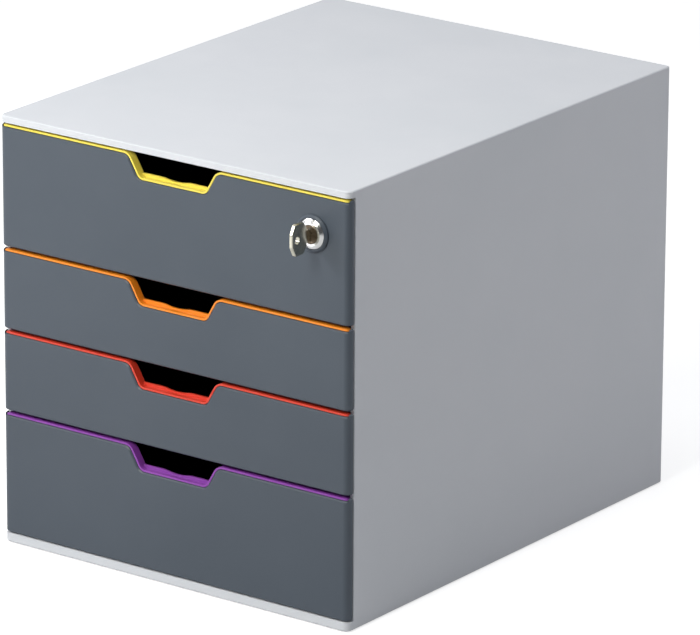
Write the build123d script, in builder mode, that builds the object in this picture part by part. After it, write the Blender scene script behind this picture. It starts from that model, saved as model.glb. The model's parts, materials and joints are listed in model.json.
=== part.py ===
from build123d import *
from collections import namedtuple
from math import radians, tan
import os

os.makedirs("parts", exist_ok=True)

# A desktop drawer box for papers: a light grey casing with four drawers of 1.5, 1, 1 and 1.5
# units of height, and a cam lock with its key in the top drawer.
# Millimetres, +X to the right seen from the front, +Y to the back, +Z up.
# The origin is the middle of the outer box, key included, on the plane of the feet.
# A depth is always counted backwards from the faces of the closed drawers.

# Outer size
width = 280.0
depth = 356.0
height = 292.0
key_reach = 22.8

# Casing
wall = 3.0
top_lip = 4.5
bottom_lip = 6.1
lip_depth = 8.0
side_wall_start = 6.0
front_corner_radius = 4.5
rear_corner_radius = 2.5
edge_radius = 0.8
edge_bevel = 0.6

# Feet
foot_height = 1.0
foot_size = 16.0
foot_corner = 3.0
foot_inset = 24.0
foot_pocket = 1.5
foot_clearance = 0.2
foot_chamfer = 0.4

# Back panel and its screws
back_panel_thickness = 2.5
back_panel_start = 351.5
panel_fit = 0.3
field_inset = 16.0
field_corner = 6.0
field_depth = 0.8
back_rib = 2.0
back_rib_height = 2.0
back_rib_spacing = 60.0
back_rib_count = 4
boss_size = 11.0
boss_depth = 6.0
screw_radius = 1.25
screw_clear_radius = 1.7
screw_head_radius = 2.8
screw_head_height = 1.8
screw_slot = 0.9
screw_slot_depth = 1.0

# Drawer heights, counted from the top edge of the top panel down
unit = 56.0
drawer_units = {"top": 1.5, "second": 1.0, "third": 1.0, "bottom": 1.5}
top_panel_edge = 284.3
panel_gap = 3.9
lowest_panel_gap = 0.7

# Drawer fronts
panel_thickness = 5.0
panel_bevel = 0.8
panel_skin = 2.4
pad_thickness = 1.6
pad_inset = 4.0
pad_margin = 2.0
pad_gap = 0.2
pocket_rim = 3.0
pocket_width = 48.0
pocket_spacing = 54.0
pocket_count = 5
locked_pocket_count = 4
notch_depth = 15.4
notch_bottom_width = 54.0
notch_top_width = 72.0
notch_radius = 6.0
notch_overshoot = 2.0

# Snap lugs that hold a front on its tray
lug_x = 90.0
lug_width = 10.0
lug_thickness = 2.0
lug_barb = 0.9
lug_length = 2.4
lug_below_top = 19.0
lug_above_bottom = 14.0
lug_play = 0.3

# Coloured grip trim, between the panel and the tray, and the panel's ears at its ends
trim_thickness = 1.2
trim_gap = 0.4
trim_setback = 1.0
ear_width = 1.3
trim_plate_height = 24.0
trim_upstand = 2.0
dip_depth = 1.2
dip_half_width = 10.0
dip_blend = 8.0

# Trays
tray_width = 258.0
tray_length = 337.0
tray_wall = 2.0
tray_draft = 0.75
tray_bevel = 2.5
tray_rear_radius = 6.0
rim_width = 1.5
rim_thickness = 2.0
rim_below_panel_edge = 0.2
skid_height = 1.0
skid_width = 3.0
slide_gap = 0.1
drawer_travel = 240.0
stop_lug_depth = 331.0
stop_lug_length = 10.0
stop_lug_height = 8.0
stop_lug_clearance = 0.5
stop_play = 0.3
skid_inset = 0.6

# Runner frames, and the runners clipped into them
frame_plate = 2.0
frame_start = 8.5
tab_count = 2
tab_length = 14.0
tab_spacing = 230.0
tab_middle = 180.0
tab_play = 0.2
ledge_width = 13.0
ledge_thickness = 2.4
ledge_start = 10.0
ledge_above_panel = 1.9
ledge_lead_in = 5.0
guide_height = 5.0
guide_thickness = 1.8
guide_clearance = 0.8
stop_rib_length = 4.0
stop_rib_width = 2.8
stop_rib_below = 2.0
stop_rib_above = 1.0
window_count = 3
window_length = 62.0
window_spacing = 76.0
window_middle = 222.0
window_margin = 6.0
window_corner = 4.0
channel_start = 20.0
channel_rib = 2.0
channel_height = 3.0

# Cam lock
lock_x = 111.4
lock_z = 260.2
collar_radius = 12.35
collar_height = 2.2
collar_bevel = 1.2
bezel_radius = 9.9
bezel_clearance = 0.4
bezel_sink = 0.4
bezel_rim = 1.9
bezel_face = 3.2
bezel_bevel = 2.2
shank_radius = 8.0
shank_half_flat = 7.2
shank_play = 0.1
shank_end = 12.8
plug_radius = 6.2
plug_play = 0.05
plug_end = 13.0
plug_chamfer = 0.4
keyway_width = 2.4
keyway_height = 9.0
keyway_end = 10.0
tail_size = 6.0
tail_end = 15.4
cam_screw_hole_end = 10.8
nut_flats = 20.0
nut_thickness = 3.0
cam_start = 13.3
cam_thickness = 2.0
cam_hub_radius = 7.0
cam_tip_radius = 5.0
cam_reach = 24.0
cam_hole = 6.1
washer_radius = 5.0
washer_thickness = 0.6
cam_screw_radius = 1.5
cam_screw_tip = 11.1
cam_screw_head = 3.8
cam_screw_head_height = 2.0
cam_screw_head_bevel = 0.8
strike_start = 9.4
strike_thickness = 3.0
strike_width = 30.0
strike_bottom = 276.0
strike_corner_radius = 3.0

# Key
bow_start = 7.8
bow_thickness = 2.8
bow_neck = 6.3
bow_shoulder = 10.5
bow_shoulder_depth = 3.6
bow_nose = 4.0
bow_nose_depth = 3.4
bow_round = 1.6
bow_bevel = 0.5
bow_hole_radius = 2.5
bow_hole_depth = 18.0
blade_thickness = 2.0
blade_height = 8.4
blade_end = 9.4
blade_tip = 2.0
blade_root = 1.0
cut_count = 4
cut_pitch = 2.8
cut_depth = 1.4

# How close an edge has to be to a place for it to be picked there
near = 0.1

# Places worked out from the driving sizes
half_width = width / 2
front_y = -(depth - key_reach) / 2
bay_half = half_width - wall
base_top = foot_height + wall
bay_top = height - wall
bay_middle = (base_top + bay_top) / 2
lip_top = foot_height + bottom_lip
lip_under = height - top_lip
boss_start = back_panel_start - boss_depth
back_panel_end = back_panel_start + back_panel_thickness
screw_spacing_x = 2 * bay_half - boss_size
screw_spacing_z = bay_top - base_top - boss_size
frame_face = bay_half - frame_plate
ledge_edge = frame_face - ledge_width
pad_half = half_width - pad_inset
tray_start = panel_thickness + pad_thickness
tray_end = tray_start + tray_length
tray_inside = tray_start + tray_wall
stop_rib_end = stop_lug_depth - drawer_travel - stop_play
stop_lug_reach = frame_face - stop_lug_clearance
guide_face = tray_width / 2 + guide_clearance
skid_x = ledge_edge + skid_inset + skid_width / 2
rim_inset = tray_wall / 2
lug_slot_width = lug_width + 2 * lug_play
lug_slot_height = lug_thickness + 2 * lug_play
dip_radius = (dip_half_width**2 + dip_depth**2) / (2 * dip_depth)
dip_reach = dip_half_width + near
trim_rise = trim_gap + trim_thickness
band_half = half_width - ear_width - trim_gap

Drawer = namedtuple("Drawer", "name bottom top ledge rim")


def stack_of_drawers():
    """The drawers from the top down, with the heights of their panels, ledges and tray rims."""
    stack = []
    top = top_panel_edge
    for name, units in drawer_units.items():
        foot_of_slot = top - units * unit + panel_gap
        bottom = lip_top + lowest_panel_gap if name == "bottom" else foot_of_slot
        ledge = foot_of_slot + ledge_above_panel
        stack.append(Drawer(name, bottom, top, ledge, top - rim_below_panel_edge))
        top -= units * unit
    return stack


def facing(distance):
    """The upright plane that faces the front at this depth."""
    return Plane.XZ.offset(-(front_y + distance))


def block(left, right, low, high):
    """A rectangle seen from the front, in a sketch on a facing plane."""
    with Locations(((left + right) / 2, (low + high) / 2)):
        return Rectangle(right - left, high - low)


def plan_block(half, start, end, mode=Mode.ADD):
    """A rectangle in plan, centred across the width, between two depths."""
    with Locations((0, front_y + (start + end) / 2)):
        return Rectangle(2 * half, end - start, mode=mode)


def front_outline(bottom, top, half):
    """A drawer's outline seen from the front, with the finger notch in its top edge."""
    slope = (notch_top_width - notch_bottom_width) / 2 / notch_depth
    upper = notch_top_width / 2 + slope * notch_overshoot
    with BuildSketch(Plane.XY) as outline:
        with Locations((0, (bottom + top) / 2)):
            Rectangle(2 * half, top - bottom)
        with BuildLine():
            Polyline(
                (-upper, top + notch_overshoot),
                (-notch_bottom_width / 2, top - notch_depth),
                (notch_bottom_width / 2, top - notch_depth),
                (upper, top + notch_overshoot),
                close=True,
            )
        make_face(mode=Mode.SUBTRACT)
        corners = outline.vertices().filter_by_position(Axis.X, -upper, upper)
        fillet(corners, notch_radius)
    return outline.sketch


def raised_outline(bottom, top, half, rise):
    """The same outline with its top contour moved outwards by a rise, and no wider."""
    with BuildSketch(Plane.XY) as raised:
        add(front_outline(bottom + rise, top, half - rise))
        offset(amount=rise)
    return raised.sketch


def lock_circle(radius, mode=Mode.ADD):
    """A circle on the lock's axis, in a sketch on a facing plane."""
    with Locations((lock_x, lock_z)):
        return Circle(radius, mode=mode)


def double_d(radius, half_flat):
    """A round outline with two upright flats, which keep the lock from turning."""
    with BuildSketch(Plane.XY) as outline:
        with Locations((lock_x, lock_z)):
            Circle(radius)
            Rectangle(2 * half_flat, 4 * half_flat, mode=Mode.INTERSECT)
    return outline.sketch


drawers = stack_of_drawers()
lock_opening = double_d(shank_radius + shank_play, shank_half_flat + shank_play)

# Casing: one moulded shell, open at the front and at the back
with BuildPart() as casing_shell:
    with BuildSketch(Plane.XY.offset(foot_height)) as plan:
        plan_block(half_width, 0, depth)
        fillet(plan.vertices().group_by(Axis.Y)[0], front_corner_radius)
        fillet(plan.vertices().group_by(Axis.Y)[-1], rear_corner_radius)
    extrude(amount=height - foot_height)
    chamfer(casing_shell.faces().sort_by(Axis.Z)[-1].edges(), edge_bevel)
    chamfer(casing_shell.faces().sort_by(Axis.Z)[0].edges(), edge_bevel)

    # the fronts cover the full width between the two lips
    with BuildSketch(facing(0)):
        block(-half_width, half_width, lip_top, lip_under)
    extrude(amount=-side_wall_start, mode=Mode.SUBTRACT)

    # the bay behind them, a little higher past the lips
    with BuildSketch(facing(0)):
        block(-bay_half, bay_half, lip_top, lip_under)
    extrude(amount=-depth, mode=Mode.SUBTRACT)
    with BuildSketch(facing(lip_depth)):
        block(-bay_half, bay_half, base_top, bay_top)
    extrude(amount=-depth, mode=Mode.SUBTRACT)
    wall_y = front_y + side_wall_start
    wall_fronts = casing_shell.edges().filter_by(Axis.Z)
    wall_fronts = wall_fronts.filter_by_position(Axis.Y, wall_y - near, wall_y + near)
    fillet(wall_fronts.group_by(Axis.X)[0] + wall_fronts.group_by(Axis.X)[-1], edge_radius)

    # ribs that keep the runner frames against the side walls
    with BuildSketch(facing(channel_start)):
        rib_spacing = 2 * frame_face - channel_rib
        with Locations((0, bay_middle)):
            with GridLocations(rib_spacing, bay_top - base_top - channel_height, 2, 2):
                Rectangle(channel_rib, channel_height)
    extrude(amount=-(boss_start - channel_start))

    # corner bosses for the screws of the back panel
    with BuildSketch(facing(boss_start)):
        with Locations((0, bay_middle)):
            with GridLocations(screw_spacing_x, screw_spacing_z, 2, 2):
                Rectangle(boss_size, boss_size)
                Circle(screw_radius, mode=Mode.SUBTRACT)
    extrude(amount=-boss_depth)

    # the strike that the lock's cam turns up behind
    with BuildSketch(facing(strike_start)) as strike:
        block(lock_x - strike_width / 2, lock_x + strike_width / 2, strike_bottom, bay_top)
        fillet(strike.vertices().group_by(Axis.Y)[0], strike_corner_radius)
    extrude(amount=-strike_thickness)

    # shallow pockets for the feet
    with BuildSketch(Plane.XY.offset(foot_height)) as foot_pockets:
        with Locations((0, front_y + depth / 2)):
            with GridLocations(width - 2 * foot_inset, depth - 2 * foot_inset, 2, 2):
                Rectangle(foot_size + 2 * foot_clearance, foot_size + 2 * foot_clearance)
        chamfer(foot_pockets.vertices(), foot_corner)
    extrude(amount=foot_pocket, mode=Mode.SUBTRACT)

casing_shell.part.label = "casing_shell"
export_step(casing_shell.part, "parts/casing_shell.step")

# Feet: four rubber pads set in pockets of the base
for row, along in (("front", -1), ("rear", 1)):
    for column, across in (("left", -1), ("right", 1)):
        foot_x = across * (half_width - foot_inset)
        foot_y = front_y + depth / 2 + along * (depth / 2 - foot_inset)
        with BuildPart() as foot:
            with BuildSketch() as pad:
                with Locations((foot_x, foot_y)):
                    Rectangle(foot_size, foot_size)
                chamfer(pad.vertices(), foot_corner)
            extrude(amount=foot_height + foot_pocket)
            chamfer(foot.edges().group_by(Axis.Z)[0], foot_chamfer)
        foot.part.label = f"foot_{row}_{column}"
        export_step(foot.part, f"parts/foot_{row}_{column}.step")

# Back panel: a plate in the rear opening, with a sunk field outside and ribs inside
with BuildPart() as back_panel:
    with BuildSketch(facing(back_panel_start)):
        plate_half = bay_half - panel_fit
        block(-plate_half, plate_half, base_top + panel_fit, bay_top - panel_fit)
    extrude(amount=-back_panel_thickness)
    with BuildSketch(facing(back_panel_end)) as field:
        field_half = bay_half - field_inset
        block(-field_half, field_half, base_top + field_inset, bay_top - field_inset)
        chamfer(field.vertices(), field_corner)
    extrude(amount=field_depth, mode=Mode.SUBTRACT)
    with BuildSketch(facing(back_panel_start)):
        with Locations((0, bay_middle)):
            with GridLocations(back_rib_spacing, 0, back_rib_count, 1):
                Rectangle(back_rib, bay_top - base_top - 2 * field_inset)
    extrude(amount=back_rib_height)
    with BuildSketch(facing(back_panel_end)):
        with Locations((0, bay_middle)):
            with GridLocations(screw_spacing_x, screw_spacing_z, 2, 2):
                Circle(screw_clear_radius)
    extrude(amount=back_panel_thickness, mode=Mode.SUBTRACT)

back_panel.part.label = "back_panel"
export_step(back_panel.part, "parts/back_panel.step")

# The four screws of the back panel, with cross recesses
with BuildPart() as back_panel_screws:
    head_end = back_panel_end + screw_head_height
    with BuildSketch(facing(back_panel_end)):
        with Locations((0, bay_middle)):
            with GridLocations(screw_spacing_x, screw_spacing_z, 2, 2):
                Circle(screw_head_radius)
    extrude(amount=-screw_head_height)
    with BuildSketch(facing(head_end)):
        with Locations((0, bay_middle)):
            with GridLocations(screw_spacing_x, screw_spacing_z, 2, 2):
                Rectangle(screw_head_radius, screw_slot)
                Rectangle(screw_slot, screw_head_radius)
    extrude(amount=screw_slot_depth, mode=Mode.SUBTRACT)
    with BuildSketch(facing(back_panel_end)):
        with Locations((0, bay_middle)):
            with GridLocations(screw_spacing_x, screw_spacing_z, 2, 2):
                Circle(screw_radius)
    extrude(amount=back_panel_end - boss_start)

back_panel_screws.part.label = "back_panel_screws"
export_step(back_panel_screws.part, "parts/back_panel_screws.step")

# Runner frames: one plate a side, which carries the runners and the stops of the trays
for hand, side in (("left", -1), ("right", 1)):
    with BuildPart() as frame:
        with BuildSketch(facing(frame_start)):
            plate_sides = sorted((side * frame_face, side * bay_half))
            block(*plate_sides, base_top, bay_top)
        extrude(amount=-(boss_start - frame_start))

        # slots for the tabs of the runners
        with BuildSketch(Plane.YZ.offset(side * bay_half)):
            for drawer in drawers:
                with Locations((front_y + tab_middle, drawer.ledge - ledge_thickness / 2)):
                    with GridLocations(tab_spacing, 0, tab_count, 1):
                        Rectangle(tab_length + 2 * tab_play, ledge_thickness + 2 * tab_play)
        extrude(amount=-side * frame_plate, mode=Mode.SUBTRACT)

        # windows that lighten the plate between the runners
        with BuildSketch(Plane.YZ.offset(side * bay_half)) as windows:
            for drawer in drawers:
                low = drawer.ledge + guide_height + window_margin
                high = drawer.rim - stop_lug_height - window_margin
                with Locations((front_y + window_middle, (low + high) / 2)):
                    with GridLocations(window_spacing, 0, window_count, 1):
                        Rectangle(window_length, high - low)
            chamfer(windows.vertices(), window_corner)
        extrude(amount=-side * frame_plate, mode=Mode.SUBTRACT)

        # upright stops that catch the lugs of the trays
        with BuildSketch(facing(stop_rib_end)):
            for drawer in drawers:
                rib_sides = sorted((side * (frame_face - stop_rib_width), side * frame_face))
                rib_low = drawer.rim - stop_lug_height - stop_rib_below
                block(*rib_sides, rib_low, drawer.rim + stop_rib_above)
        extrude(amount=stop_rib_length)

    frame.part.label = f"{hand}_runner_frame"
    export_step(frame.part, f"parts/{hand}_runner_frame.step")

    # Runners: a ledge with an upright guide beside the tray, on tabs through the frame's plate
    for drawer in drawers:
        with BuildPart() as runner:
            with BuildSketch(facing(ledge_start)):
                ledge_sides = sorted((side * ledge_edge, side * frame_face))
                block(*ledge_sides, drawer.ledge - ledge_thickness, drawer.ledge)
                guide_sides = sorted((side * guide_face, side * (guide_face + guide_thickness)))
                block(*guide_sides, drawer.ledge, drawer.ledge + guide_height)
            extrude(amount=-(boss_start - ledge_start))
            with BuildSketch(Plane.YZ.offset(side * frame_face)):
                with Locations((front_y + tab_middle, drawer.ledge - ledge_thickness / 2)):
                    with GridLocations(tab_spacing, 0, tab_count, 1):
                        Rectangle(tab_length, ledge_thickness)
            extrude(amount=side * frame_plate)

            # the front corner of the ledge is cut back as a lead-in
            corner_y = front_y + ledge_start
            with BuildSketch(Plane.XY):
                with BuildLine():
                    Polyline(
                        (side * ledge_edge, corner_y),
                        (side * (ledge_edge + ledge_lead_in), corner_y),
                        (side * ledge_edge, corner_y + 2 * ledge_lead_in),
                        close=True,
                    )
                make_face()
            extrude(amount=height, mode=Mode.SUBTRACT)
        runner.part.label = f"{hand}_{drawer.name}_runner"
        export_step(runner.part, f"parts/{hand}_{drawer.name}_runner.step")

# Each drawer is a tray, a front panel and a coloured grip trim held between the two
for drawer in drawers:
    locked = drawer.name == "top"
    plate_bottom = drawer.top - trim_plate_height
    notch_floor = drawer.top - notch_depth
    upstand_top = notch_floor + trim_rise + trim_upstand
    lug_low = drawer.bottom + lug_above_bottom
    lug_high = drawer.top - lug_below_top
    outline = front_outline(drawer.bottom, drawer.top, half_width)

    # Front panel: rounded in plan, thickened behind by a pad with hollows in it
    with BuildPart() as front:
        with BuildSketch(Plane.XY.offset(drawer.bottom)) as plan:
            plan_block(half_width, 0, panel_thickness)
            fillet(plan.vertices().group_by(Axis.Y)[0], front_corner_radius)
        extrude(amount=drawer.top + trim_rise - drawer.bottom)
        with BuildSketch(facing(0)):
            add(outline)
            with Locations((0, drawer.top)):
                with GridLocations(2 * half_width - ear_width, 0, 2, 1):
                    Rectangle(ear_width, 2 * trim_rise)
        extrude(amount=-panel_thickness, mode=Mode.INTERSECT)
        rim_end = front_y + front_corner_radius - near
        rims = front.edges().filter_by_position(Axis.Y, front_y - near, rim_end)
        rims = rims - rims.filter_by(Axis.Z) - rims.filter_by(Axis.Y)
        chamfer(rims, panel_bevel)

        pad_low = drawer.bottom + pad_margin
        pad_high = plate_bottom - pad_gap
        with BuildSketch(facing(panel_thickness)):
            block(-pad_half, pad_half, pad_low, pad_high)
        extrude(amount=-pad_thickness)
        pockets = locked_pocket_count if locked else pocket_count
        pocket_middle = (pockets - pocket_count) * pocket_spacing / 2
        pocket_height = pad_high - pad_low - 2 * pocket_rim
        with BuildSketch(facing(panel_skin)):
            with Locations((pocket_middle, (pad_low + pad_high) / 2)):
                with GridLocations(pocket_spacing, 0, pockets, 1):
                    Rectangle(pocket_width, pocket_height)
        extrude(amount=-depth, mode=Mode.SUBTRACT)

        # snap lugs: they pass through the tray's front wall and hook behind it
        hook_y = front_y + tray_inside + lug_play / 2
        root_y = front_y + panel_skin / 2
        lug_planes = [Plane.YZ.offset(x - lug_width / 2) for x in (-lug_x, lug_x)]
        with BuildSketch(*lug_planes):
            for lug_z in (lug_low, lug_high):
                with BuildLine():
                    Polyline(
                        (root_y, lug_z - lug_thickness / 2),
                        (hook_y + lug_length, lug_z - lug_thickness / 2),
                        (hook_y + lug_length, lug_z),
                        (hook_y, lug_z + lug_thickness / 2 + lug_barb),
                        (hook_y, lug_z + lug_thickness / 2),
                        (root_y, lug_z + lug_thickness / 2),
                        close=True,
                    )
                make_face()
        extrude(amount=lug_width)

        # a raised collar round the lock, with a seat for its bezel
        if locked:
            with BuildSketch(facing(0)):
                lock_circle(collar_radius)
            extrude(amount=collar_height)
            chamfer(front.edges().group_by(Axis.Y)[0], collar_bevel)
            with BuildSketch(facing(bezel_sink)):
                lock_circle(bezel_radius + bezel_clearance)
            extrude(amount=bezel_sink + collar_height, mode=Mode.SUBTRACT)
            with BuildSketch(facing(0)):
                add(lock_opening)
            extrude(amount=-tray_start, mode=Mode.SUBTRACT)

    front.part.label = f"{drawer.name}_front"
    export_step(front.part, f"parts/{drawer.name}_front.step")

    # Grip trim: a ledge that follows the panel's top contour, on a plate behind the panel
    with BuildPart() as trim:
        with BuildSketch(Plane.XY.offset(plate_bottom)) as plan:
            plan_block(half_width - trim_setback, trim_setback, panel_thickness)
            fillet(plan.vertices().group_by(Axis.Y)[0], front_corner_radius - trim_setback)
        extrude(amount=trim_plate_height + trim_rise)
        with BuildSketch(facing(0)):
            add(raised_outline(plate_bottom, drawer.top, band_half, trim_rise))
            wider = band_half + wall
            lower = plate_bottom - wall
            add(raised_outline(lower, drawer.top, wider, trim_gap), mode=Mode.SUBTRACT)
        extrude(amount=-panel_thickness, mode=Mode.INTERSECT)

        # behind it the plate, whose low upstand dips in the middle of the notch
        with BuildSketch(facing(panel_thickness)) as plate:
            add(raised_outline(plate_bottom, drawer.top, pad_half, trim_rise))
            block(-notch_bottom_width / 2, notch_bottom_width / 2, notch_floor, upstand_top)
            with Locations((0, upstand_top - dip_depth + dip_radius)):
                Circle(dip_radius, mode=Mode.SUBTRACT)
            dip_ends = plate.vertices().filter_by_position(Axis.X, -dip_reach, dip_reach)
            fillet(dip_ends, dip_blend)
            with Locations((0, lug_high)):
                with GridLocations(2 * lug_x, 0, 2, 1):
                    Rectangle(lug_slot_width, lug_slot_height, mode=Mode.SUBTRACT)
            if locked:
                add(lock_opening, mode=Mode.SUBTRACT)
        extrude(amount=-pad_thickness)

    trim.part.label = f"{drawer.name}_grip_trim"
    export_step(trim.part, f"parts/{drawer.name}_grip_trim.step")

    # Tray: drafted sides and a rounded back, with a turned-out rim, skids and stop lugs
    tray_low = drawer.ledge + slide_gap + skid_height
    top_half = tray_width / 2 + (drawer.rim - tray_low) * tan(radians(tray_draft))
    with BuildPart() as tray:
        with BuildSketch(facing(tray_start)):
            with BuildLine():
                Polyline(
                    (-tray_width / 2, tray_low),
                    (tray_width / 2, tray_low),
                    (top_half, drawer.rim),
                    (-top_half, drawer.rim),
                    close=True,
                )
            make_face()
        extrude(amount=-tray_length)
        back_edges = tray.faces().sort_by(Axis.Y)[-1].edges().sort_by(Axis.X)
        fillet([back_edges[0], back_edges[-1]], tray_rear_radius)
        low_edges = tray.faces().sort_by(Axis.Z)[0].edges().sort_by(Axis.Y)
        chamfer(low_edges[1:], tray_bevel)
        offset(amount=-tray_wall, openings=tray.faces().sort_by(Axis.Z)[-1])

        with BuildSketch(Plane.XY.offset(drawer.rim)) as rim:
            plan_block(top_half + rim_width, tray_inside, tray_end + rim_width)
            fillet(rim.vertices().group_by(Axis.Y)[-1], tray_rear_radius + rim_width)
            plan_block(top_half - rim_inset, 0, tray_end - rim_inset, mode=Mode.SUBTRACT)
            inner_y = front_y + tray_end - rim_inset
            inner_back = rim.vertices()
            inner_back = inner_back.filter_by_position(Axis.Y, inner_y - near, inner_y + near)
            fillet(inner_back, tray_rear_radius - rim_inset)
        extrude(amount=-rim_thickness)

        with BuildSketch(facing(tray_start)):
            with Locations((0, tray_low - skid_height / 2)):
                with GridLocations(2 * skid_x, 0, 2, 1):
                    Rectangle(skid_width, skid_height)
        extrude(amount=-(tray_length - tray_rear_radius))

        with BuildSketch(facing(stop_lug_depth)):
            for side in (-1, 1):
                lug_sides = sorted((side * (top_half - rim_inset), side * stop_lug_reach))
                block(*lug_sides, drawer.rim - stop_lug_height, drawer.rim)
        extrude(amount=-stop_lug_length)

        # openings in the front wall: finger notch, slots for the snap lugs, lock
        with BuildSketch(facing(tray_start)):
            block(-half_width, half_width, notch_floor, drawer.rim)
            add(outline, mode=Mode.SUBTRACT)
            for lug_z in (lug_low, lug_high):
                with Locations((0, lug_z)):
                    with GridLocations(2 * lug_x, 0, 2, 1):
                        Rectangle(lug_slot_width, lug_slot_height)
            if locked:
                add(lock_opening)
        extrude(amount=-tray_wall, mode=Mode.SUBTRACT)

    tray.part.label = f"{drawer.name}_tray"
    export_step(tray.part, f"parts/{drawer.name}_tray.step")

# Lock barrel: a bevelled bezel in front of a shank with two flats
with BuildPart() as lock_barrel:
    with BuildSketch(facing(bezel_sink)):
        lock_circle(bezel_radius)
    extrude(amount=bezel_sink + bezel_face)
    bezel_edge = lock_barrel.edges().group_by(Axis.Y)[0]
    chamfer(bezel_edge, bezel_face - bezel_rim, bezel_bevel)
    with BuildSketch(facing(bezel_sink)):
        add(double_d(shank_radius, shank_half_flat))
    extrude(amount=-(shank_end - bezel_sink))
    with BuildSketch(facing(-bezel_face)):
        lock_circle(plug_radius + plug_play)
    extrude(amount=-(bezel_face + shank_end), mode=Mode.SUBTRACT)

lock_barrel.part.label = "lock_barrel"
export_step(lock_barrel.part, "parts/lock_barrel.step")

# Lock nut, tightened on the shank against the tray's front wall
with BuildPart() as lock_nut:
    with BuildSketch(facing(tray_inside)):
        with Locations((lock_x, lock_z)):
            RegularPolygon(nut_flats / 2, 6, major_radius=False)
        add(double_d(shank_radius, shank_half_flat), mode=Mode.SUBTRACT)
    extrude(amount=-nut_thickness)

lock_nut.part.label = "lock_nut"
export_step(lock_nut.part, "parts/lock_nut.step")

# Lock plug: turns in the barrel, with the keyway in front and a square tail for the cam
with BuildPart() as lock_plug:
    with BuildSketch(facing(-bezel_face)):
        lock_circle(plug_radius)
    extrude(amount=-(bezel_face + plug_end))
    chamfer(lock_plug.edges().group_by(Axis.Y)[0], plug_chamfer)
    with BuildSketch(facing(plug_end)):
        with Locations((lock_x, lock_z)):
            Rectangle(tail_size, tail_size)
    extrude(amount=-(tail_end - plug_end))
    with BuildSketch(facing(-bezel_face)):
        with Locations((lock_x, lock_z)):
            Rectangle(keyway_width, keyway_height)
    extrude(amount=-(bezel_face + keyway_end), mode=Mode.SUBTRACT)
    with BuildSketch(facing(tail_end)):
        lock_circle(cam_screw_radius)
    extrude(amount=tail_end - cam_screw_hole_end, mode=Mode.SUBTRACT)

lock_plug.part.label = "lock_plug"
export_step(lock_plug.part, "parts/lock_plug.step")

# Cam: lies across to the left while unlocked, and turns up behind the strike
with BuildPart() as lock_cam:
    with BuildSketch(facing(cam_start)):
        lock_circle(cam_hub_radius)
        with Locations((lock_x - cam_reach + cam_tip_radius, lock_z)):
            Circle(cam_tip_radius)
        make_hull()
        with Locations((lock_x, lock_z)):
            Rectangle(cam_hole, cam_hole, mode=Mode.SUBTRACT)
    extrude(amount=-cam_thickness)

lock_cam.part.label = "lock_cam"
export_step(lock_cam.part, "parts/lock_cam.step")

# Washer and screw that hold the cam on the plug's tail
with BuildPart() as cam_washer:
    with BuildSketch(facing(tail_end)):
        lock_circle(washer_radius)
        lock_circle(cam_screw_radius, mode=Mode.SUBTRACT)
    extrude(amount=-washer_thickness)

cam_washer.part.label = "cam_washer"
export_step(cam_washer.part, "parts/cam_washer.step")

with BuildPart() as cam_screw:
    with BuildSketch(facing(tail_end + washer_thickness)):
        lock_circle(cam_screw_head)
    extrude(amount=-cam_screw_head_height)
    chamfer(cam_screw.edges().group_by(Axis.Y)[-1], cam_screw_head_bevel)
    with BuildSketch(facing(tail_end + washer_thickness + cam_screw_head_height)):
        with Locations((lock_x, lock_z)):
            Rectangle(cam_screw_head, screw_slot)
            Rectangle(screw_slot, cam_screw_head)
    extrude(amount=screw_slot_depth, mode=Mode.SUBTRACT)
    with BuildSketch(facing(tail_end + washer_thickness)):
        lock_circle(cam_screw_radius)
    extrude(amount=tail_end + washer_thickness - cam_screw_tip)

cam_screw.part.label = "cam_screw"
export_step(cam_screw.part, "parts/cam_screw.step")

# Key: a faceted bow with a ring hole, and a blade with cuts along its upper edge
with BuildPart() as key:
    bow_back = front_y - bow_start
    bow_tip = front_y - key_reach
    with BuildSketch(Plane.YZ.offset(lock_x - bow_thickness / 2)) as bow:
        with BuildLine():
            Polyline(
                (bow_back, lock_z - bow_neck),
                (bow_back - bow_shoulder_depth, lock_z - bow_shoulder),
                (bow_tip + bow_nose_depth, lock_z - bow_shoulder),
                (bow_tip, lock_z - bow_nose),
                (bow_tip, lock_z + bow_nose),
                (bow_tip + bow_nose_depth, lock_z + bow_shoulder),
                (bow_back - bow_shoulder_depth, lock_z + bow_shoulder),
                (bow_back, lock_z + bow_neck),
                close=True,
            )
        make_face()
        fillet(bow.vertices(), bow_round)
    extrude(amount=bow_thickness)
    chamfer(key.faces().sort_by(Axis.X)[0].edges(), bow_bevel)
    chamfer(key.faces().sort_by(Axis.X)[-1].edges(), bow_bevel)
    with BuildSketch(Plane.YZ.offset(lock_x - bow_thickness)):
        with Locations((front_y - bow_hole_depth, lock_z)):
            Circle(bow_hole_radius)
    extrude(amount=2 * bow_thickness, mode=Mode.SUBTRACT)

    blade_y = front_y + blade_end
    blade_half = blade_height / 2
    with BuildSketch(Plane.YZ.offset(lock_x - blade_thickness / 2)):
        with BuildLine():
            Polyline(
                (bow_back - blade_root, lock_z - blade_half),
                (blade_y - blade_tip, lock_z - blade_half),
                (blade_y, lock_z - blade_half + blade_tip),
                (blade_y, lock_z + blade_half - blade_tip),
                (blade_y - blade_tip, lock_z + blade_half),
                (bow_back - blade_root, lock_z + blade_half),
                close=True,
            )
        make_face()
        with Locations((front_y, lock_z + blade_half)):
            with GridLocations(cut_pitch, 0, cut_count, 1):
                Rectangle(cut_depth, cut_depth, rotation=45, mode=Mode.SUBTRACT)
    extrude(amount=blade_thickness)

key.part.label = "key"
export_step(key.part, "parts/key.step")
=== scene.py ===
import json
import math

import bpy
from mathutils import Matrix, Vector


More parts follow.
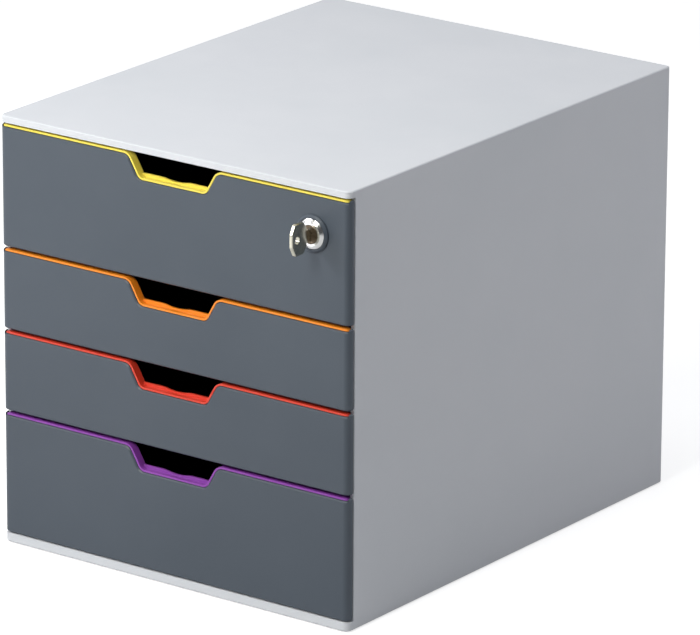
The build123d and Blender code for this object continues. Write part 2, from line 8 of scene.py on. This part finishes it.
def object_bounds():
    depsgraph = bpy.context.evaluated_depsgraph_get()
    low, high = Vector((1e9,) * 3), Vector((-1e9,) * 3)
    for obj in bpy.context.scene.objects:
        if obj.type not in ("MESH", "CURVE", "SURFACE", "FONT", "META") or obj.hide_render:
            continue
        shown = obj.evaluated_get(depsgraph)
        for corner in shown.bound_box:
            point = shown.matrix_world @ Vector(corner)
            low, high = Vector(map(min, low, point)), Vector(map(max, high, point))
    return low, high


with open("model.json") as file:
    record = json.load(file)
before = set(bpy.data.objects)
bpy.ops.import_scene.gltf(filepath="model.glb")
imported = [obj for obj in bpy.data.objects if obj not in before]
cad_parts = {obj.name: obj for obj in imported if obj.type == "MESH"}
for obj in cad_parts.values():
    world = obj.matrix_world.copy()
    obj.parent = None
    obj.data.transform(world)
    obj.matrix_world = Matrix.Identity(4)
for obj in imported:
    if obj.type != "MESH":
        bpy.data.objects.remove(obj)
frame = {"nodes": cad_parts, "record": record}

CAD_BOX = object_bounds()
NODES = frame["nodes"]

# The looks of a desk drawer box: satin plastics, a chromed cam lock and its key, on a pale
# studio floor. Everything is in metres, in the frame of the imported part: +X to the right seen
# from the front, +Y to the back, +Z up.

# Camera, as fitted to the photograph's edges: a long lens from the right, a little above
PHOTO_WIDTH = 700
SENSOR_WIDTH = 36.0
FOCAL_PIXELS = 6527.5
CAMERA_AZIMUTH = math.radians(36.379)
CAMERA_ELEVATION = math.radians(18.283)
CAMERA_ROLL = math.radians(0.296)

# The middle of the casing, and where the camera has it: ahead, right and up of the lens
CASING_DEPTH = 0.356
CASING_MIDDLE = Vector((0.0, CAD_BOX[1][1] - CASING_DEPTH / 2, CAD_BOX[1][2] / 2))
MIDDLE_AHEAD = 4.29257
MIDDLE_RIGHT = -0.00749
MIDDLE_UP = 0.00949

# Noises of the surfaces, in waves a metre
CLOUDS = 9.0
WAVES = 14.0
HANDLING = 22.0
RUBBER_BLOTCHES = 60.0
WORN_AND_PAINTED_EDGE_PATCHES = 140.0
TARNISH = 260.0
RUBBER_GLOSS = 300.0
SCRATCHES = 420.0
RUBBER_GRAIN = 1500.0
PLASTIC_GRAIN = 2600.0
NOISE_ROUGHNESS = 0.55
SCRATCH_STRETCH = (1.0, 30.0, 1.0)

# Bumps: how deep they are in metres, and how strongly they show
WAVE_BUMP = (1.5e-4, 0.35)
RUBBER_BUMP = (5e-5, 0.6)
PLASTIC_BUMP = (2e-5, 0.5)
SCRATCH_DEPTH = 6e-6

# Edge tone, which is rubbed wear with painted light: painted shade where the edge colour is
# darker than the face and a painted highlight where it is lighter.
# Its width, the least and most that it shows, and the cosines of the turn from a face to its
# rounded edge, for a full edge and for a flat face
WORN_AND_PAINTED_EDGE_WIDTH = 6e-4
WORN_AND_PAINTED_EDGE_SHARE = (0.15, 0.6)
EDGE_COSINES = (0.72, 0.995)

# How far roughness strays from its middle value, and the part of a noise that is tarnish
PLASTIC_GLOSS = (-0.05, 0.06)
METAL_GLOSS = (-0.06, 0.12)
RUBBER_ROUGHNESS = (0.7, 0.9)
TARNISHED = (0.4, 0.75)

# Studio: the floor, the brightness of its glow, of the soft light all round, and of what gloss
# shows where the studio is unlit. White is 1.
FLOOR_SIZE = 60.0
FLOOR_COLOUR = (0.55, 0.55, 0.56, 1)
FLOOR_GLOW = 0.72
SKY_COLOUR = (0.94, 0.965, 1.0, 1)
SKY_LIGHT = 0.24
SKY_IN_GLOSS = 0.06
WHITE = (1, 1, 1, 1)

# Gloss shows the white backdrop behind the object and far to its left. It comes in over these
# spans of Y and of X: metres on the floor, and parts of a direction in the sky.
FLOOR_BEHIND = (-0.2, 0.6)
FLOOR_LEFT = (0.1, -0.55)
SKY_BEHIND = (-0.35, 0.1)
SKY_LEFT = (-0.6, -1.0)

# Square lamps: place, the point that each faces, width, watts and colour
LAMPS = {
    "key_light": ((0.0, -1.5, 1.45), (0.0, 0.0, 0.15), 0.7, 24.5, (1.0, 1.0, 0.905)),
    "fill_light": ((-0.75, -0.9, 0.7), (-0.1, -0.15, 0.2), 0.5, 6.5, (1.0, 1.0, 1.0)),
    "top_light": ((-0.1, -0.2, 2.4), (0.0, 0.0, 0.2), 1.2, 12.6, (0.90, 0.925, 1.0)),
    "side_light": ((1.9, 1.5, 0.9), (0.14, 0.0, 0.15), 1.4, 10.0, (1.0, 1.0, 1.0)),
}

# Colours of each plastic in the 0 to 255 steps of a screen: its own, that of its clouds and that
# of its edges. The edge colour is rubbed wear with painted light: painted shade on the fronts, a
# painted highlight on the others.
# The last value is its roughness.
PLASTICS = {
    "casing_plastic": ((205, 207, 214), (201, 204, 211), (209, 211, 217), 0.38),
    # The fronts' darker edge colour is painted shade along their rounded edges and under the
    # coloured bands
    "front_plastic": ((72, 80, 91), (68, 76, 87), (42, 47, 54), 0.44),
    "tray_plastic": ((62, 59, 58), (56, 53, 52), (88, 86, 84), 0.5),
    "runner_plastic": ((150, 152, 155), (144, 146, 150), (170, 171, 173), 0.5),
    "yellow_plastic": ((236, 216, 84), (230, 208, 76), (248, 238, 150), 0.34),
    "orange_plastic": ((242, 140, 34), (236, 132, 28), (250, 176, 92), 0.34),
    "red_plastic": ((218, 62, 42), (210, 56, 38), (236, 118, 98), 0.34),
    "purple_plastic": ((140, 66, 168), (132, 60, 160), (176, 122, 196), 0.34),
}

# Linear colours of each metal: bright, and where it is tarnished. Then its roughness, and how
# strongly its scratches show.
METALS = {
    "chromed_zinc": ((0.88, 0.88, 0.89, 1), (0.78, 0.78, 0.79, 1), 0.13, 0.3),
    "nickelled_steel": ((0.68, 0.66, 0.56, 1), (0.54, 0.52, 0.43, 1), 0.16, 0.5),
    "zinc_plated_steel": ((0.70, 0.71, 0.73, 1), (0.60, 0.61, 0.63, 1), 0.32, 0.3),
    "plug_brass": ((0.20, 0.155, 0.11, 1), (0.11, 0.085, 0.06, 1), 0.28, 0.6),
}

# Steps of a screen again: the rubber's colour and that of its blotches
RUBBERS = {"foot_rubber": ((48, 48, 50), (40, 40, 42))}


def linear(red, green, blue):
    """A colour given in the 0 to 255 steps of a screen, as the linear one that shaders take."""
    def channel(value):
        share = value / 255
        return share / 12.92 if share <= 0.04045 else ((share + 0.055) / 1.055) ** 2.4
    return channel(red), channel(green), channel(blue), 1.0


def add_object(name, data):
    made = bpy.data.objects.new(name, data)
    bpy.context.scene.collection.objects.link(made)
    return made


# ---------------------------------------------------------------- node trees


class Graph:
    """A node tree of a material or of the world. Its methods add nodes and return outputs."""

    def __init__(self, tree):
        self.tree = tree
        self.coordinates = self.node("ShaderNodeTexCoord").outputs

    def node(self, kind, **settings):
        made = self.tree.nodes.new(kind)
        for name, value in settings.items():
            setattr(made, name, value)
        return made

    def feed(self, source, socket):
        """Links the output of a node to a socket, or gives the socket a plain value."""
        if isinstance(source, bpy.types.NodeSocket):
            self.tree.links.new(source, socket)
        else:
            socket.default_value = source

    def math(self, operation, first, second):
        made = self.node("ShaderNodeMath", operation=operation)
        self.feed(first, made.inputs[0])
        self.feed(second, made.inputs[1])
        return made.outputs["Value"]

    def span(self, source, low=0.0, high=1.0, start=0.3, end=0.7):
        """Maps start..end, by itself the span that most of a noise fills, to low..high."""
        made = self.node("ShaderNodeMapRange")
        self.feed(source, made.inputs["Value"])
        self.feed(start, made.inputs["From Min"])
        self.feed(end, made.inputs["From Max"])
        self.feed(low, made.inputs["To Min"])
        self.feed(high, made.inputs["To Max"])
        return made.outputs["Result"]


class Shader(Graph):
    """A material with one principled shader at its end."""

    def __init__(self, name, roughness, **sockets):
        self.material = bpy.data.materials.new(name)
        self.material.use_nodes = True
        super().__init__(self.material.node_tree)
        self.bsdf = self.tree.nodes["Principled BSDF"]
        self.bsdf.inputs["Roughness"].default_value = roughness
        for socket, value in sockets.items():
            self.bsdf.inputs[socket.replace("_", " ")].default_value = value

    def noise(self, waves, detail=3.0, stretch=None):
        """Noise with so many waves a metre, drawn out along an axis where stretch says so."""
        texture = self.node("ShaderNodeTexNoise")
        self.feed(waves, texture.inputs["Scale"])
        self.feed(detail, texture.inputs["Detail"])
        self.feed(NOISE_ROUGHNESS, texture.inputs["Roughness"])
        place = self.coordinates["Object"]
        if stretch:
            mapping = self.node("ShaderNodeMapping")
            self.feed(stretch, mapping.inputs["Scale"])
            self.feed(place, mapping.inputs["Vector"])
            place = mapping.outputs["Vector"]
        self.feed(place, texture.inputs["Vector"])
        return texture.outputs["Fac"]

    def edge(self, radius):
        """0 on flat faces and up to 1 along sharp edges, by how far a rounded normal turns."""
        bevel = self.node("ShaderNodeBevel", samples=4)
        self.feed(radius, bevel.inputs["Radius"])
        geometry = self.node("ShaderNodeNewGeometry")
        turn = self.node("ShaderNodeVectorMath", operation="DOT_PRODUCT")
        self.feed(bevel.outputs["Normal"], turn.inputs[0])
        self.feed(geometry.outputs["Normal"], turn.inputs[1])
        return self.span(turn.outputs["Value"], 1.0, 0.0, *EDGE_COSINES)

    def mix(self, share, first, second):
        """The first tone, with the second over it by the share."""
        made = self.node("ShaderNodeMix", data_type="RGBA")
        self.feed(share, made.inputs["Factor"])
        self.feed(first, made.inputs["A"])
        self.feed(second, made.inputs["B"])
        return made.outputs["Result"]

    def bump(self, height, distance, strength, below=None):
        """A normal bent by a height, over another normal where below gives one."""
        made = self.node("ShaderNodeBump")
        self.feed(distance, made.inputs["Distance"])
        self.feed(strength, made.inputs["Strength"])
        self.feed(height, made.inputs["Height"])
        if below:
            self.feed(below, made.inputs["Normal"])
        return made.outputs["Normal"]

    def finish(self, colour, roughness, normal):
        self.feed(colour, self.bsdf.inputs["Base Color"])
        self.feed(roughness, self.bsdf.inputs["Roughness"])
        self.feed(normal, self.bsdf.inputs["Normal"])
        return self.material


# ---------------------------------------------------------------- materials


def moulded_plastic(name, colour, cloud, edge, roughness):
    """Satin moulded plastic: clouds of tone and gloss, a fine spark-eroded grain, edges toned by
    rubbed wear and painted light (shade where the edge colour is darker, highlight where it is
    lighter).
    """
    shader = Shader(name, roughness, IOR=1.49)
    clouds = shader.span(shader.noise(CLOUDS, detail=4.0))
    tone = shader.mix(clouds, linear(*colour), linear(*cloud))
    # Edge tone: rubbed wear in patches, and painted light, painted shade where the edge colour
    # is darker and a painted highlight where it is lighter
    patches = shader.span(shader.noise(WORN_AND_PAINTED_EDGE_PATCHES), *WORN_AND_PAINTED_EDGE_SHARE)
    worn_and_painted = shader.math("MULTIPLY", shader.edge(WORN_AND_PAINTED_EDGE_WIDTH), patches)
    tone = shader.mix(worn_and_painted, tone, linear(*edge))
    handled = shader.noise(HANDLING, detail=5.0)
    rough = shader.span(handled, *(roughness + stray for stray in PLASTIC_GLOSS))
    waves = shader.bump(shader.noise(WAVES, detail=1.0), *WAVE_BUMP)
    grain = shader.bump(shader.noise(PLASTIC_GRAIN, detail=2.0), *PLASTIC_BUMP, below=waves)
    return shader.finish(tone, rough, grain)


def rubber(name, colour, blotch):
    """Matt rubber with faint blotches and a coarse grain."""
    shader = Shader(name, 0.8, IOR=1.5)
    blotches = shader.span(shader.noise(RUBBER_BLOTCHES))
    tone = shader.mix(blotches, linear(*colour), linear(*blotch))
    rough = shader.span(shader.noise(RUBBER_GLOSS), *RUBBER_ROUGHNESS)
    grain = shader.bump(shader.noise(RUBBER_GRAIN), *RUBBER_BUMP)
    return shader.finish(tone, rough, grain)


def metal(name, colour, tarnished, roughness, scratched):
    """Bright metal: fine scratches drawn out along one axis, faint tarnish, varying gloss."""
    shader = Shader(name, roughness, Metallic=1.0)
    tarnish = shader.span(shader.noise(TARNISH, detail=5.0), 0.0, 1.0, *TARNISHED)
    tone = shader.mix(tarnish, colour, tarnished)
    lines = shader.noise(SCRATCHES, detail=4.0, stretch=SCRATCH_STRETCH)
    rough = shader.span(lines, *(roughness + stray for stray in METAL_GLOSS))
    return shader.finish(tone, rough, shader.bump(lines, SCRATCH_DEPTH, scratched))


def dress_nodes():
    """Gives each node of the part the material of its slot in the record."""
    materials = {}
    for make, looks in ((moulded_plastic, PLASTICS), (metal, METALS), (rubber, RUBBERS)):
        materials |= {name: make(name, *look) for name, look in looks.items()}
    for part in frame["record"]["subparts"]:
        for material_slot in NODES[part["node"]].material_slots:
            material_slot.material = materials[part["material_slot"]]


# ---------------------------------------------------------------- floor, world, lights


def backdrop_share(graph, coordinate, behind, left):
    """1 for rays that show the backdrop: from the camera, through glass, and off gloss.

    For gloss it goes from 0 to 1 over a span of Y, behind the object, and over one of X, to its
    left.
    """
    towards = graph.node("ShaderNodeSeparateXYZ")
    graph.feed(graph.coordinates[coordinate], towards.inputs[0])
    far_back = graph.span(towards.outputs["Y"], 0.0, 1.0, *behind)
    far_left = graph.span(towards.outputs["X"], 0.0, 1.0, *left)
    path = graph.node("ShaderNodeLightPath").outputs
    share = graph.math("MAXIMUM", far_back, far_left)
    share = graph.math("MULTIPLY", path["Is Glossy Ray"], share)
    share = graph.math("MAXIMUM", path["Is Transmission Ray"], share)
    return graph.math("MAXIMUM", path["Is Camera Ray"], share)


def pale_floor():
    """A wide floor, matt, that glows only for the rays that show the background."""
    half = FLOOR_SIZE / 2
    corners = [(-half, -half, 0), (half, -half, 0), (half, half, 0), (-half, half, 0)]
    mesh = bpy.data.meshes.new("floor")
    mesh.from_pydata(corners, [], [(0, 1, 2, 3)])
    floor = add_object("floor", mesh)
    shader = Shader(
        "floor", 0.9, Base_Color=FLOOR_COLOUR, Specular_IOR_Level=0.1, Emission_Color=WHITE,
    )
    share = backdrop_share(shader, "Object", FLOOR_BEHIND, FLOOR_LEFT)
    glow = shader.math("MULTIPLY", share, FLOOR_GLOW)
    shader.feed(glow, shader.bsdf.inputs["Emission Strength"])
    mesh.materials.append(shader.material)


def studio_world():
    """White behind the object, a dimmer soft light from all round, and little for its gloss."""
    world = bpy.data.worlds.new("studio")
    bpy.context.scene.world = world
    world.use_nodes = True
    world.node_tree.nodes.clear()
    graph = Graph(world.node_tree)

    def background(colour, strength):
        made = graph.node("ShaderNodeBackground")
        graph.feed(colour, made.inputs["Color"])
        graph.feed(strength, made.inputs["Strength"])
        return made.outputs[0]

    def mixed(share, first, second):
        made = graph.node("ShaderNodeMixShader")
        for source, socket in zip((share, first, second), made.inputs):
            graph.feed(source, socket)
        return made.outputs[0]

    glossy = graph.node("ShaderNodeLightPath").outputs["Is Glossy Ray"]
    dim = mixed(glossy, background(SKY_COLOUR, SKY_LIGHT), background(SKY_COLOUR, SKY_IN_GLOSS))
    share = backdrop_share(graph, "Generated", SKY_BEHIND, SKY_LEFT)
    seen = mixed(share, dim, background(WHITE, 1.0))
    graph.feed(seen, graph.node("ShaderNodeOutputWorld").inputs[0])


def softbox(name, place, target, width, watts, colour):
    """A square area light that faces a point."""
    light = bpy.data.lights.new(name, "AREA")
    light.shape = "SQUARE"
    light.size = width
    light.energy = watts
    light.color = colour
    lamp = add_object(name, light)
    lamp.location = place
    direction = Vector(target) - Vector(place)
    lamp.rotation_euler = direction.to_track_quat("-Z", "Y").to_euler()


# ---------------------------------------------------------------- camera


def aim_camera():
    """The camera of the photograph: no shift and no depth of field."""
    ahead = Vector((
        -math.sin(CAMERA_AZIMUTH) * math.cos(CAMERA_ELEVATION),
        math.cos(CAMERA_AZIMUTH) * math.cos(CAMERA_ELEVATION),
        -math.sin(CAMERA_ELEVATION),
    ))
    right = Vector((math.cos(CAMERA_AZIMUTH), math.sin(CAMERA_AZIMUTH), 0.0))
    up = right.cross(ahead)
    turn = Matrix.Rotation(CAMERA_ROLL, 3, -ahead)
    right, up = turn @ right, turn @ up
    data = bpy.data.cameras.new("camera")
    data.sensor_fit = "HORIZONTAL"
    data.sensor_width = SENSOR_WIDTH
    data.lens = FOCAL_PIXELS * SENSOR_WIDTH / PHOTO_WIDTH
    camera = add_object("camera", data)
    place = CASING_MIDDLE - MIDDLE_RIGHT * right - MIDDLE_UP * up - MIDDLE_AHEAD * ahead
    axes = Matrix((right, up, -ahead)).transposed()
    camera.matrix_world = Matrix.Translation(place) @ axes.to_4x4()
    bpy.context.scene.camera = camera


dress_nodes()
pale_floor()
studio_world()
for lamp_name, look in LAMPS.items():
    softbox(lamp_name, *look)
aim_camera()
bpy.context.scene.view_settings.view_transform = "Standard"
